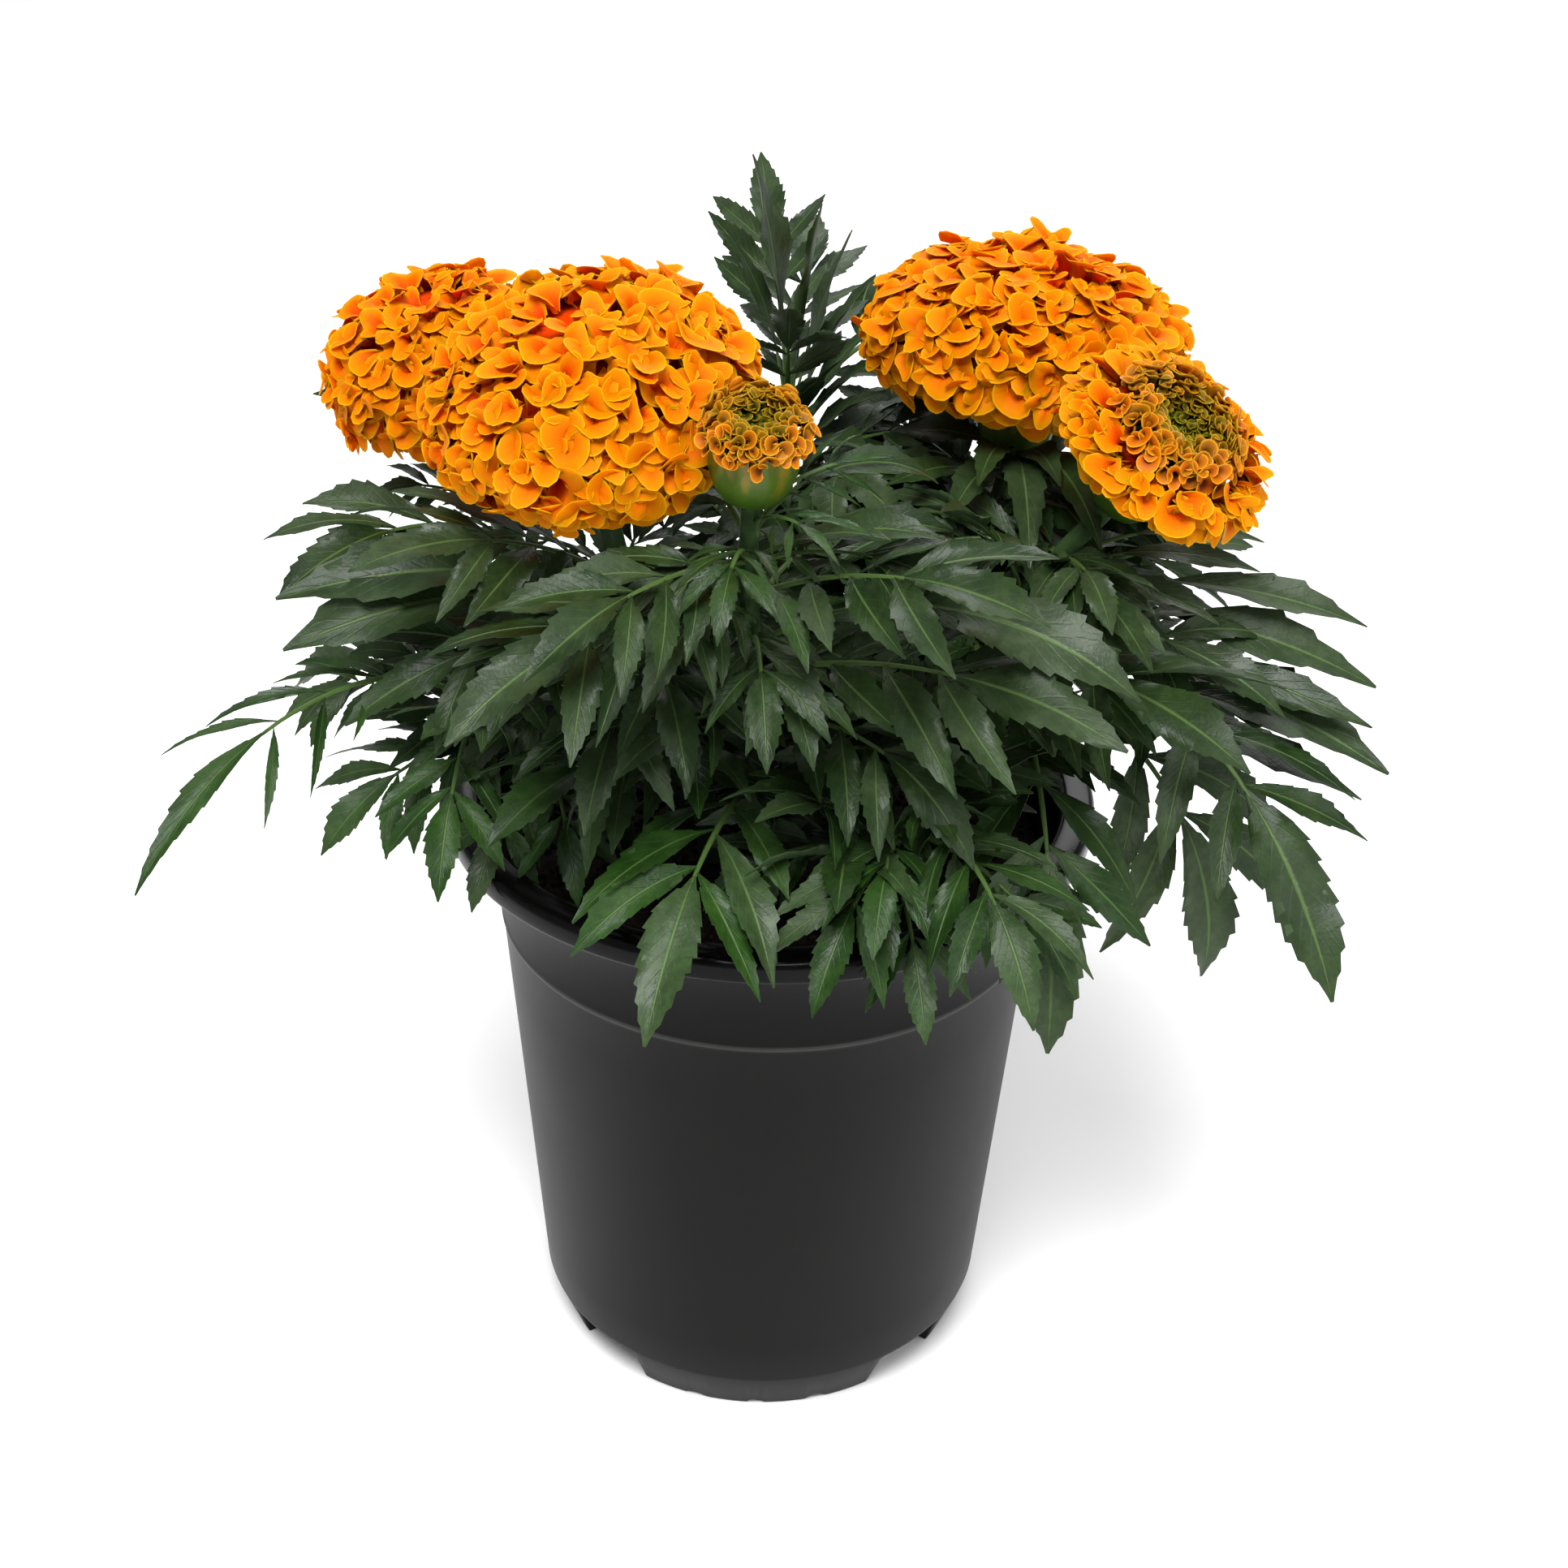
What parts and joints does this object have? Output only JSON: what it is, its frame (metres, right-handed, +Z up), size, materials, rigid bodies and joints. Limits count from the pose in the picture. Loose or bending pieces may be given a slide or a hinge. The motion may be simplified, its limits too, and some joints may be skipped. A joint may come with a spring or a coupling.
{
  "type": "potted double marigold plant",
  "caption": "Bushy marigold with ruffled orange pompon flowers, a half-open flower, a bud and toothed feathery leaves, growing in a round black nursery pot.",
  "frame": {"origin": "centre of the circle that the pot's feet stand on, which is also the middle of the plant's footprint, on the ground", "axes": "+Z up along the pot's axis; -Y is the front, the side of the opening bud; +X to the right of it"},
  "size_m": [0.2756, 0.2352, 0.304],
  "materials": {
    "pot_plastic": "satin injection-moulded black plastic, glossier on the lip",
    "potting_mix": "loose dark peat crumbs, matte",
    "foliage": "living leaf, dark green with a satin sheen and paler veins",
    "petals": "living petal, velvety orange with paler rims",
    "florets": "unopened florets, olive to golden orange"
  },
  "bodies": {
    "root": {"pot": "pot_plastic", "potting_mix": "potting_mix", "left_bloom_stem_and_leaves": "foliage", "right_bloom_stem_and_leaves": "foliage", "young_bloom_stem_and_leaves": "foliage", "opening_bud_stem_and_leaves": "foliage", "rear_bloom_stem_and_leaves": "foliage", "rear_shoot_stem_and_leaves": "foliage", "left_shoot_stem_and_leaves": "foliage", "right_shoot_stem_and_leaves": "foliage", "front_shoot_stem_and_leaves": "foliage", "left_bloom_petals": "petals", "right_bloom_petals": "petals", "rear_bloom_petals": "petals", "young_bloom_petals": "petals", "young_bloom_florets": "florets", "opening_bud_florets": "florets"}
  },
  "joints": []
}
